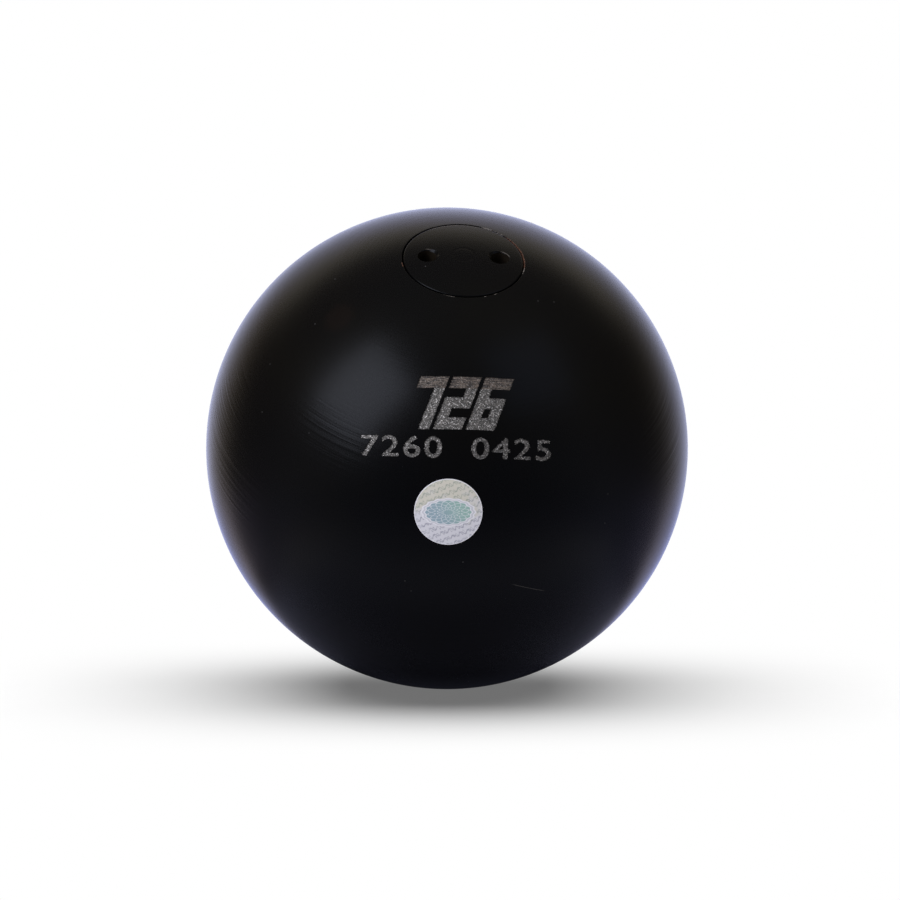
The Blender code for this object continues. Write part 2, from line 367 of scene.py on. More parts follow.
def finished_object(name, shape, placing=None):
    """A bmesh as an object whose place is in its mesh."""
    bmesh.ops.recalc_face_normals(shape, faces=shape.faces)
    if placing is not None:
        bmesh.ops.transform(shape, matrix=placing, verts=shape.verts)
    mesh = bpy.data.meshes.new(name)
    shape.to_mesh(mesh)
    shape.free()
    return placed(name, mesh)


def in_order(shape):
    """The same shape with corners and faces in order of place, so that every run cuts it alike."""
    ordered = bmesh.new()
    corners = []
    for number, vertex in enumerate(sorted(shape.verts, key=lambda vertex: tuple(vertex.co))):
        vertex.index = number
        corners.append(ordered.verts.new(vertex.co))
    rows = []
    for face in shape.faces:
        row = [vertex.index for vertex in face.verts]
        start = row.index(min(row))
        row = row[start:] + row[:start]
        rows.append(row if row[1] < row[-1] else row[:1] + row[:0:-1])
    for row in sorted(rows):
        ordered.faces.new([corners[number] for number in row])
    shape.free()
    return ordered


def spun(profile, steps, **spin):
    """Profile points of (radius, height) spun about Z."""
    shape = bmesh.new()
    points = [shape.verts.new((radius, 0.0, height)) for radius, height in profile]
    edges = [shape.edges.new(pair) for pair in zip(points, points[1:])]
    bmesh.ops.spin(
        shape, geom=points + edges, cent=(0.0, 0.0, 0.0), axis=(0.0, 0.0, 1.0), steps=steps, **spin,
    )
    return in_order(shape)


def turned(profile, steps=TURN_STEPS):
    """A closed solid, turned from its profile."""
    shape = spun(profile, steps, angle=math.tau, use_merge=True)
    bmesh.ops.remove_doubles(shape, verts=shape.verts, dist=1e-7)
    return shape


def evenly(start, end, steps):
    return [start + (end - start) * step / steps for step in range(steps + 1)]


def arc(start_angle, end_angle, steps, radius=BALL_RADIUS):
    """Points on a circle round the ball's centre, angles measured from the axis."""
    angles = evenly(start_angle, end_angle, steps)
    return [(abs(radius * math.sin(angle)), radius * math.cos(angle)) for angle in angles]


def corner(centre, radius, start_angle, end_angle, steps=4):
    """A rounded corner of a profile, angles measured from the outward direction."""
    angles = evenly(start_angle, end_angle, steps)
    return [(centre[0] + radius * math.cos(a), centre[1] + radius * math.sin(a)) for a in angles]


def evaluated_mesh(item):
    """The mesh that an object's modifiers or text come to."""
    graph = bpy.context.evaluated_depsgraph_get()
    graph.update()
    return bpy.data.meshes.new_from_object(item.evaluated_get(graph), depsgraph=graph)


def combined(target, tool, operation):
    """The target joined with, cut by or limited to the tool, which is then removed."""
    change = target.modifiers.new(operation.lower(), "BOOLEAN")
    change.operation = operation
    change.solver = "EXACT"
    change.object = tool
    mesh = evaluated_mesh(target)
    mesh.name = target.name
    target.modifiers.clear()
    target.data = mesh
    bpy.data.objects.remove(tool)
    return target


def give_finishes(item, choose):
    """Each face's material, chosen by the middle of the face."""
    for face in item.data.polygons:
        face.material_index = choose(face.center)


def shade_turned(item, crown_radius=None):
    """Smooth shading with sharp corners, and true ball normals on the ball's own surface."""
    mesh = item.data
    mesh.shade_smooth()
    mesh.set_sharp_from_angle(angle=SHARP_ANGLE)
    if crown_radius is None:
        return
    near = 0.000002
    on_crown = [abs(vertex.co.length - crown_radius) < near for vertex in mesh.vertices]
    normals = [(0.0, 0.0, 0.0)] * len(mesh.loops)
    for face in mesh.polygons:
        radial = face.normal.dot(face.center.normalized())
        if radial > 0.95 and all(on_crown[v] for v in face.vertices):
            for loop in face.loop_indices:
                normals[loop] = tuple(mesh.vertices[mesh.loops[loop].vertex_index].co.normalized())
    mesh.normals_split_custom_set(normals)


def thread_solid(name, crest, root, flank_clearance, envelope):
    """A right-hand screw thread, trimmed to the turned envelope."""
    quarter = THREAD_PITCH / 4
    eighth = THREAD_PITCH / 8
    run = (THREAD_PITCH - quarter - eighth) / 2
    lean = run / (THREAD_CREST - THREAD_ROOT)
    crest_half = eighth / 2 + flank_clearance - (crest - THREAD_CREST) * lean
    root_half = crest_half + (crest - root) * lean
    middle = -THREAD_PITCH / 2
    profile = [
        (root, 0.0), (root, middle + root_half), (crest, middle + crest_half),
        (crest, middle - crest_half), (root, middle - root_half), (root, -THREAD_PITCH),
    ]
    heights = [height for radius, height in envelope]
    foot = THREAD_PITCH * (math.floor(min(heights) / THREAD_PITCH) - 1)
    turns = math.ceil((max(heights) - foot) / THREAD_PITCH) + 2
    shape = spun(
        [(radius, foot + height) for radius, height in profile], THREAD_STEPS * turns,
        dvec=(0.0, 0.0, THREAD_PITCH / THREAD_STEPS), angle=math.tau * turns,
    )
    bmesh.ops.remove_doubles(shape, verts=shape.verts, dist=1e-6)
    margin = THREAD_PITCH * 0.05
    for height, outward in ((min(heights) - margin, -1.0), (max(heights) + margin, 1.0)):
        bmesh.ops.bisect_plane(
            shape, geom=shape.verts[:] + shape.edges[:] + shape.faces[:], dist=1e-8,
            plane_co=(0.0, 0.0, height), plane_no=(0.0, 0.0, outward), clear_outer=True,
        )
        rim = [edge for edge in shape.edges if edge.is_boundary
               and all(abs(v.co.z - height) < 1e-6 for v in edge.verts)]
        bmesh.ops.edgeloop_fill(shape, edges=rim)
    thread = finished_object(name, shape)
    limit = finished_object(name + "_limit", turned(envelope, SMALL_TURN_STEPS))
    return combined(thread, limit, "INTERSECT")


# The ball: turned outside, counterbored, tapped and drilled inside

def fillet(edge_radius, side):
    """The rounded edge from the ball's surface to the seam; side is 1 on the ball, -1 on the plug."""
    radius = PORT_RADIUS + edge_radius if side > 0 else HEAD_RADIUS - edge_radius
    height = math.sqrt((BALL_RADIUS - edge_radius) ** 2 - radius ** 2)
    meets_ball = math.atan2(height, radius)
    return corner((radius, height), edge_radius, meets_ball, math.pi if side > 0 else 0.0)


def pellet_extent(node):
    """Middle and radius of a pellet's solid."""
    low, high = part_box(node)
    return (low + high) / 2, (high.z - low.z) / 2


def bore_end():
    """Heights of the bore's floor and drilled tip, from the lowest pellet that lies in it."""
    centre, radius = pellet_extent("lead_pellet_01")
    tip = (TO_PLUG_AXIS.inverted() @ centre).z - (radius + FIT_GAP) / math.sin(POINT_HALF_ANGLE)
    return tip + DRILL_RADIUS / math.tan(POINT_HALF_ANGLE), tip


def ball_blank():
    lip = fillet(EDGE_BREAK, 1)
    lip_angle = math.atan2(lip[0][0], lip[0][1])
    floor, tip = bore_end()
    profile = [(0.0, -BALL_RADIUS)] + arc(math.pi, lip_angle, BALL_RINGS)[1:-1] + lip + [
        (PORT_RADIUS, SEAT + SEAT_CORNER),
        (PORT_RADIUS - SEAT_CORNER, SEAT),
        (TAP_CREST + TAP_MOUTH, SEAT),
        (DRILL_RADIUS, SEAT - (TAP_CREST + TAP_MOUTH - DRILL_RADIUS)),
        (DRILL_RADIUS, floor),
        (0.0, tip),
    ]
    return finished_object("ball", turned(profile))


def tap():
    """The cutter that leaves the port's internal thread."""
    lead = TAP_CREST - TAP_ROOT
    envelope = [
        (0.0, SEAT + THREAD_PITCH),
        (TAP_CREST, SEAT + THREAD_PITCH),
        (TAP_CREST, THREAD_END),
        (TAP_ROOT, THREAD_END - lead),
        (0.0, THREAD_END - lead),
    ]
    return thread_solid("tap", TAP_CREST, TAP_ROOT, TAP_FLANK_CLEARANCE, envelope)


def block_strokes():
    """The block figures' strokes, each as low and high corners, before they are slanted."""
    count = len(BLOCK_TEXT)
    wide = (BLOCK_WIDTH - (count - 1) * BLOCK_GAP) / count
    high = BLOCK_HEIGHT / 2
    bar = BLOCK_BAR / 2
    shapes = {
        "top": (0.0, high - 2 * bar, wide, high),
        "middle": (0.0, -bar, wide, bar),
        "bottom": (0.0, -high, wide, 2 * bar - high),
        "upper left": (0.0, 0.0, BLOCK_POST, high),
        "lower left": (0.0, -high, BLOCK_POST, 0.0),
        "upper right": (wide - BLOCK_POST, 0.0, wide, high),
        "lower right": (wide - BLOCK_POST, -high, wide, 0.0),
    }
    strokes = []
    for number, figure in enumerate(BLOCK_TEXT):
        start = number * (wide + BLOCK_GAP) - BLOCK_WIDTH / 2
        for stroke in BLOCK_STROKES[figure]:
            left, low, right, top = shapes[stroke]
            strokes.append((start + left, low, start + right, top))
    return strokes


def block_cutter():
    strokes = block_strokes()

    def inside(spot):
        x = spot.x - spot.y * BLOCK_SLANT
        return any(left < x < right and low < spot.y < top for left, low, right, top in strokes)

    wide = BLOCK_WIDTH + BLOCK_HEIGHT * BLOCK_SLANT
    return marks_cutter(inside, wide, BLOCK_HEIGHT, mark_frame(BLOCK_PX, BLOCK_TURN))


def row_shapes(width, height):
    """The row's figures as a flat mesh round the origin."""
    curve = bpy.data.curves.new("figures", "FONT")
    curve.body = ROW_TEXT
    curve.space_character = ROW_SPACING
    lettering = placed("figures", curve)
    mesh = evaluated_mesh(lettering)
    bpy.data.objects.remove(lettering)
    shape = bmesh.new()
    shape.from_mesh(mesh)
    low = Vector(min(v.co[i] for v in shape.verts) for i in range(3))
    high = Vector(max(v.co[i] for v in shape.verts) for i in range(3))
    size = Matrix.Diagonal((width / (high.x - low.x), height / (high.y - low.y), 1.0, 1.0))
    middle = Matrix.Translation(-(low + high) / 2)
    bmesh.ops.transform(shape, matrix=size @ middle, verts=shape.verts)
    return shape


def row_cutter():
    """The row's figures, each stroke widened by the same amount all round."""
    shapes = row_shapes(ROW_WIDTH - 2 * ROW_WEIGHT, ROW_HEIGHT - 2 * ROW_WEIGHT)
    cover = BVHTree.FromBMesh(shapes)
    shapes.free()

    def inside(spot):
        return cover.find_nearest(spot, ROW_WEIGHT)[0] is not None

    return marks_cutter(inside, ROW_WIDTH, ROW_HEIGHT, mark_frame(ROW_PX, ROW_TURN))


def raster(inside, width, height):
    """The flat area that the marking head covers, line by line, each line a little out of step."""
    columns = math.ceil(width / RASTER_LINE) + 2
    lines = math.ceil(height / RASTER_LINE)
    area = bmesh.new()
    bmesh.ops.create_grid(area, x_segments=columns, y_segments=lines, size=0.5)
    extent = (columns * RASTER_LINE, lines * RASTER_LINE, 1.0)
    bmesh.ops.scale(area, vec=extent, verts=area.verts)
    blank = []
    for cell in area.faces:
        spot = cell.calc_center_median()
        wander = (spot.x * RASTER_WANDER, spot.y / RASTER_LINE * RASTER_UNEVEN, 0.0)
        spot.x += noise.noise(wander) * RASTER_DRIFT
        if not inside(spot):
            blank.append(cell)
    bmesh.ops.delete(area, geom=blank, context="FACES")
    pinched = True
    while pinched:
        pinched = [v for v in area.verts if sum(edge.is_boundary for edge in v.link_edges) == 4]
        extra = {min(v.link_faces, key=lambda face: face.calc_center_median().x) for v in pinched}
        bmesh.ops.delete(area, geom=list(extra), context="FACES")
    return area


def mark_frame(pixel, turn):
    """The place of a mark on the ball: its X along the line, its Y up and its Z outward."""
    place = on_ball(pixel)
    outward = place.normalized()
    along = (Vector((1.0, 0.0, 0.0)) - outward * outward.x).normalized()
    along.rotate(Quaternion(outward, turn))
    upward = outward.cross(along)
    axes = Matrix((along, upward, outward)).transposed()
    return Matrix.Translation(place) @ axes.to_4x4()


def marks_cutter(inside, width, height, place):
    """Figures as a cutter whose foot follows the ball's curve, roughened by the marking."""
    area = raster(inside, width, height)
    noise.seed_set(RAGGED_SEED)
    for vertex in area.verts:
        x, y = vertex.co.x, vertex.co.y
        grain = (x / RASTER_LINE * RAGGED_GRAIN, y / RASTER_LINE * RAGGED_GRAIN, 3.0)
        ragged = noise.noise_vector(grain)
        if vertex.is_boundary:
            vertex.co.x += ragged.x * RASTER_LINE * RAGGED_EDGE[0]
            vertex.co.y += ragged.y * RASTER_LINE * RAGGED_EDGE[1]
        depth = ENGRAVING_DEPTH + ragged.z * ENGRAVING_ROUGHNESS
        vertex.co.z = math.sqrt((BALL_RADIUS - depth) ** 2 - x * x - y * y) - BALL_RADIUS
    raised = bmesh.ops.extrude_face_region(area, geom=area.faces[:], use_keep_orig=True)
    tops = [item for item in raised["geom"] if isinstance(item, bmesh.types.BMVert)]
    bmesh.ops.translate(area, vec=(0.0, 0.0, MARK_REACH), verts=tops)
    return finished_object("marks_cutter", in_order(area), place)


def ball_face_finish(centre):
    """Which of the ball's materials a face gets: 0 the coat, 1 the marks, 2 the machined bore."""
    along = centre.dot(PLUG_AXIS)
    aside = (centre - PLUG_AXIS * along).length
    if aside < PORT_RADIUS + EDGE_BREAK and along > 0.0:
        return 2 if along < SEAT + COATED_WALL or aside < PORT_RADIUS - SEAT_CORNER * 2 else 0
    if centre.length < BALL_RADIUS - ENGRAVING_DEPTH * 0.25:
        return 1 if centre.length > BALL_RADIUS * 0.9 else 2
    return 0


def make_ball():
    ball = ball_blank()
    combined(ball, tap(), "DIFFERENCE")
    ball.data.transform(TO_PLUG_AXIS)
    combined(ball, block_cutter(), "DIFFERENCE")
    combined(ball, row_cutter(), "DIFFERENCE")
    give_finishes(ball, ball_face_finish)
    shade_turned(ball, BALL_RADIUS)
    return ball


# The screw plug

def spanner_hole(side):
    """A drill for one pin hole, its countersink meeting the crown."""
    mouth = ball_height(SPANNER_HOLE_OFFSET)
    profile = [
        (0.0, mouth + DRILL_REACH),
        (SPANNER_HOLE_RADIUS + HOLE_COUNTERSINK + DRILL_REACH, mouth + DRILL_REACH),
        (SPANNER_HOLE_RADIUS, mouth - HOLE_COUNTERSINK),
        (SPANNER_HOLE_RADIUS, mouth - SPANNER_HOLE_DEPTH),
        (0.0, mouth - SPANNER_HOLE_DEPTH - SPANNER_HOLE_RADIUS / math.tan(POINT_HALF_ANGLE)),
    ]
    aside = Matrix.Translation((side * SPANNER_HOLE_OFFSET, 0.0, 0.0))
    place = Matrix.Rotation(PLUG_CLOCKING, 4, "Z") @ aside
    return finished_object("spanner_hole", turned(profile, SMALL_TURN_STEPS), place)


def centre_mark(angle):
    """How far the lathe's shallow centre ring lies below the crown at an angle off the axis."""
    off = (angle * BALL_RADIUS - CENTRE_RING_RADIUS) / CENTRE_RING_WIDTH
    return CENTRE_RING_DEPTH * math.exp(-off * off)


def plug_head():
    rim = fillet(PLUG_EDGE_BREAK, -1)
    rim_angle = math.atan2(rim[0][0], rim[0][1])
    angles = [rim_angle * n / CROWN_RINGS for n in range(CROWN_RINGS)]
    crown = []
    for angle in angles:
        radius = BALL_RADIUS - centre_mark(angle)
        crown.append((radius * math.sin(angle), radius * math.cos(angle)))
    lower = [
        (HEAD_RADIUS, SHOULDER + SHOULDER_CHAMFER),
        (HEAD_RADIUS - SHOULDER_CHAMFER, SHOULDER),
        (UNDERCUT_RADIUS, SHOULDER),
        (UNDERCUT_RADIUS, SHOULDER - UNDERCUT_LENGTH / 2),
        (0.0, SHOULDER - UNDERCUT_LENGTH / 2),
    ]
    return finished_object("plug", turned(crown + rim + lower))


def plug_shank():
    lead = THREAD_CREST - UNDERCUT_RADIUS
    envelope = [
        (0.0, SHOULDER - UNDERCUT_LENGTH / 4),
        (UNDERCUT_RADIUS, SHOULDER - UNDERCUT_LENGTH / 4),
        (UNDERCUT_RADIUS, SHOULDER - UNDERCUT_LENGTH),
        (THREAD_CREST + THREAD_PITCH / 10, SHOULDER - UNDERCUT_LENGTH - lead),
        (THREAD_CREST + THREAD_PITCH / 10, SHANK_END + lead),
        (UNDERCUT_RADIUS, SHANK_END),
        (0.0, SHANK_END),
    ]
    return thread_solid("plug_shank", THREAD_CREST, THREAD_ROOT, 0.0, envelope)


def plug_nose():
    profile = [
        (0.0, SHANK_END + NOSE_LENGTH / 2),
        (NOSE_RADIUS, SHANK_END + NOSE_LENGTH / 2),
        (NOSE_RADIUS, NOSE_END + NOSE_CHAMFER),
        (NOSE_RADIUS - NOSE_CHAMFER, NOSE_END),
        (0.0, NOSE_END),
    ]
    return finished_object("plug_nose", turned(profile, SMALL_TURN_STEPS))


def plug_face_finish(centre):
    """Which of the plug's materials a face gets: 0 the coat, 1 bare steel, 2 the drilled holes."""
    if centre.z < SHOULDER + SHOULDER_CHAMFER * 1.2:
        return 1
    across = Vector((SPANNER_HOLE_OFFSET, 0.0)) @ Matrix.Rotation(-PLUG_CLOCKING, 2)
    aside = min((centre.xy - across * side).length for side in (-1, 1))
    mouth = ball_height(SPANNER_HOLE_OFFSET) - HOLE_COUNTERSINK * 1.5
    return 2 if aside < SPANNER_HOLE_RADIUS * 1.01 and centre.z < mouth else 0


def make_plug():
    plug = plug_head()
    combined(plug, plug_shank(), "UNION")
    combined(plug, plug_nose(), "UNION")
    for side in (-1, 1):
        combined(plug, spanner_hole(side), "DIFFERENCE")
    give_finishes(plug, plug_face_finish)
    shade_turned(plug, BALL_RADIUS)
    plug.data.transform(TO_PLUG_AXIS)
    return plug


# What the plug closes in: washer, pressure disc, packing and ballast

def rounded_disc(name, node, inner_radius, edge):
    """A turned disc or ring that fills its solid, with broken edges."""
    low, high = disc_extent(node)
    outer = LOOSE_RADIUS if node != "sealing_washer" else HEAD_RADIUS
    ring = [
        (inner_radius, high), (outer - edge, high), (outer - edge * 0.3, high - edge * 0.3),
        (outer, high - edge), (outer, low + edge), (outer - edge * 0.3, low + edge * 0.3),
        (outer - edge, low), (inner_radius, low),
    ]
    if inner_radius > 0.0:
        ring.append(ring[0])
    item = finished_object(name, turned(ring, RING_TURN_STEPS), TO_PLUG_AXIS)
    shade_turned(item)
    return item


def disc_extent(node):
    """Lowest and highest point of a solid along the plug's axis."""
    heights = [vertex.co.dot(PLUG_AXIS) for vertex in frame["nodes"][node].data.vertices]
    return min(heights), max(heights)


def make_pellet(name, node):
    """A cast lead pellet, slightly out of round, the size of its solid."""
    centre, radius = pellet_extent(node)
    shape = bmesh.new()
    bmesh.ops.create_icosphere(shape, subdivisions=PELLET_SUBDIVISIONS, radius=radius)
    for vertex in shape.verts:
        dent = noise.noise(vertex.co * PELLET_DENTS + centre * PELLET_SPREAD)
        vertex.co *= 1.0 - PELLET_DENT_DEPTH * max(dent, 0.0)
    item = finished_object(name, shape, Matrix.Translation(centre))
    item.data.shade_smooth()
    return item


# The foil seal

def make_seal():
    """A thin cap on the ball, its print laid out on a flat map of the foil."""
    half_angle = math.asin(SEAL_RADIUS / BALL_RADIUS)
    inner = BALL_RADIUS + SEAL_LIFT
    outer = inner + SEAL_THICKNESS
    edge = SEAL_THICKNESS / 2 / BALL_RADIUS
    face = arc(0.0, half_angle - edge, SEAL_RINGS, outer)
    back = arc(half_angle - edge, 0.0, SEAL_RINGS, inner)
    middle = (inner + outer) / 2
    rim = [(middle * math.sin(half_angle), middle * math.cos(half_angle))]
    shape = turned(face + rim + back, SEAL_TURN_STEPS)
    layer = shape.loops.layers.uv.new("foil")
    for part in shape.faces:
        for loop in part.loops:
            place = loop.vert.co / (2 * SEAL_RADIUS)
            loop[layer].uv = (place.x + 0.5, place.y + 0.5)
    seal = finished_object("seal", shape, SEAL_PLACING)
    shade_turned(seal)
    return seal


# Materials

class Nodes:
    """The node tree of a material or of the room, built node by node."""

    def __init__(self, owner, output):
        owner.use_nodes = True
        self.owner = owner
        self.tree = owner.node_tree
        self.tree.nodes.clear()
        self.output = self.tree.nodes.new("ShaderNodeOutput" + output)

    def feed(self, socket, value):
        if isinstance(value, bpy.types.NodeSocket):
            self.tree.links.new(value, socket)
        else:
            socket.default_value = value

    def add(self, kind, inputs=(), **settings):
        """A new node, its settings made and its sockets fed by name or number."""
        node = self.tree.nodes.new("ShaderNode" + kind)
        for setting, value in settings.items():
            setattr(node, setting, value)
        for socket, value in dict(inputs).items():
            self.feed(node.inputs[socket], value)
        return node

    def math(self, operation, *values, clamp=False):
        pairs = enumerate(values)
        return self.add("Math", pairs, operation=operation, use_clamp=clamp).outputs[0]

    def chain(self, operation, first, *others):
        """One operation worked from the first value through all the others."""
        for other in others:
            first = self.math(operation, first, other)
        return first

    def times(self, *values):
        return self.chain("MULTIPLY", *values)

    def plus(self, *values):
        return self.chain("ADD", *values)

    def less(self, value, taken):
        return self.math("SUBTRACT", value, taken)

    def most(self, *values):
        return self.chain("MAXIMUM", *values)

    def apart(self, first, second):
        """How far two values are from each other."""
        return self.math("ABSOLUTE", self.less(first, second))

    def vector(self, operation, *values):
        return self.add("VectorMath", enumerate(values), operation=operation)

    def length(self, vector):
        return self.vector("LENGTH", vector).outputs["Value"]

    def distance(self, place, point):
        return self.vector("DISTANCE", place, tuple(point)).outputs["Value"]

    def dot(self, vector, direction):
        return self.vector("DOT_PRODUCT", vector, tuple(direction)).outputs["Value"]

    def heading(self, vector):
        return self.vector("NORMALIZE", vector).outputs[0]

    def split(self, vector):
        """A vector's X, Y and Z."""
        return self.add("SeparateXYZ", {0: vector}).outputs[:3]

    def joined(self, *values):
        """A vector of up to three values, its other parts 0."""
        return self.add("CombineXYZ", enumerate(values)).outputs[0]

    def remap(self, value, low, high, to_low=0.0, to_high=1.0, smooth=True):
        """The value's stretch from low to high as a stretch from to_low to to_high."""
        kind = "SMOOTHSTEP" if smooth else "LINEAR"
        inputs = {"Value": value, "From Min": low, "From Max": high, "To Min": to_low, "To Max": to_high}
        return self.add("MapRange", inputs, interpolation_type=kind).outputs["Result"]

    def blend(self, share, first, second):
        """A colour between two, by a share from 0 to 1."""
        node = self.add("Mix", data_type="RGBA")
        self.feed(node.inputs[0], share)
        self.feed(node.inputs[6], first)
        self.feed(node.inputs[7], second)
        return node.outputs[2]

    def noise(self, place, scale, detail=2.0, roughness=0.5, distortion=0.0):
        inputs = {"Vector": place, "Scale": scale, "Detail": detail, "Roughness": roughness,
                  "Distortion": distortion}
        return self.add("TexNoise", inputs).outputs["Fac"]

    def ramp(self, value, low, high, steps):
        """A colour that goes through the steps, each a position from low to high and a colour."""
        node = self.add("ValToRGB", {"Fac": self.remap(value, low, high, smooth=False)})
        elements = node.color_ramp.elements
        while len(elements) < len(steps):
            elements.new(0.5)
        for element, (position, colour) in zip(elements, steps):
            element.position = (position - low) / (high - low)
            element.color = (*colour, 1.0)
        return node.outputs["Color"]

    def finish(self, shader):
        self.feed(self.output.inputs["Surface"], shader)
        return self.owner


class Finish(Nodes):
    """One material of the object."""

    def __init__(self, name):
        super().__init__(bpy.data.materials.new(name), "Material")

    def place(self):
        return self.add("TexCoord").outputs["Object"]

    def on_plug_axis(self, place):
        """The place as seen along the plug's axis, which is then Z."""
        turn = (PLUG_TILT, 0.0, PLUG_SWING)
        return self.add("Mapping", {"Vector": place, "Rotation": turn}, vector_type="TEXTURE").outputs[0]

    def bump(self, height, distance, after=None):
        inputs = {"Height": height, "Distance": distance, "Strength": 1.0}
        if after is not None:
            inputs["Normal"] = after
        return self.add("Bump", inputs).outputs["Normal"]

    def surfaced(self, **inputs):
        """The finished material; keyword names are the shader's own, with _ for a space."""
        sockets = {name.replace("_", " "): value for name, value in inputs.items()}
        return self.finish(self.add("BsdfPrincipled", sockets).outputs[0])


def turning_marks(finish, along_axis, feed_length):
    """Fine rings left by the lathe, even round the plug's axis. Returns their height, 0 to 1."""
    x, y, z = finish.split(finish.heading(along_axis))
    feed = finish.times(finish.math("ARCCOSINE", z), BALL_RADIUS / feed_length)
    rings = finish.joined(feed, finish.times(x, RING_WANDER), finish.times(y, RING_WANDER))
    return finish.noise(rings, 1.0, detail=1.0, roughness=0.4)


def spots(finish, place, pixels, radius, ragged):
    """A mask of small ragged spots on the ball, 1 inside them."""
    drift = finish.add("TexNoise", {"Vector": place, "Scale": SPOT_GRAIN, "Detail": 2.0}).outputs["Color"]
    drift = finish.vector("SUBTRACT", drift, (0.5, 0.5, 0.5)).outputs[0]
    drift = finish.add("VectorMath", {0: drift, "Scale": ragged}, operation="SCALE").outputs[0]
    shifted = finish.vector("ADD", place, drift).outputs[0]
    mask = 0.0
    for pixel in pixels:
        gap = finish.distance(shifted, on_ball(pixel))
        mask = finish.most(mask, finish.remap(gap, radius, radius * 0.55))
    return mask


def flattened(finish, along_axis):
    """A place's distance from the plug's axis, as a flat vector."""
    return finish.joined(*finish.split(along_axis)[:2])


def seam_edge(finish, flat, radius):
    """1 on one broken edge of the plug's seam, a circle round the plug's axis."""
    off = finish.apart(finish.length(flat), radius)
    return finish.remap(off, SEAM_EDGE_WIDTH, SEAM_EDGE_WIDTH * 0.5)


def seam_stretches(finish, flat, stretches):
    """1 along the seam between each pair of the photograph's pixels, fading at the ends."""
    facing = finish.heading(flat)
    mask = 0.0
    for ends in stretches:
        start, end = ((TO_PLUG_AXIS.inverted() @ on_ball(pixel)).xy.normalized() for pixel in ends)
        middle = (start + end).normalized()
        reach = math.acos(middle.dot(start))
        near = finish.dot(facing, middle.to_3d())
        stretch = finish.remap(near, math.cos(reach * 1.25), math.cos(reach * 0.85))
        mask = finish.most(mask, stretch)
    return mask


def pin_rims(finish, flat):
    """1 on the rims of the spanner holes."""
    offset = Vector((SPANNER_HOLE_OFFSET, 0.0, 0.0))
    offset.rotate(Euler((0.0, 0.0, PLUG_CLOCKING)))
    rims = 0.0
    for side in (-1, 1):
        gap = finish.distance(flat, offset * side)
        off = finish.apart(gap, SPANNER_HOLE_RADIUS + HOLE_COUNTERSINK)
        rims = finish.most(rims, finish.remap(off, PIN_RIM_WIDTH, PIN_RIM_WIDTH * 0.4))
    return rims


def scratch(finish, place, pixels, width):
    """A hairline on the ball between two of the photograph's pixels."""
    start, end = (on_ball(pixel) for pixel in pixels)
    half_length = (end - start).length / 2
    off = finish.apart(finish.dot(place, start.cross(end).normalized()), 0.0)
    gap = finish.distance(place, (start + end) / 2)
    return finish.times(
        finish.remap(off, width, width * 0.4), finish.remap(gap, half_length, half_length * 0.7),
    )


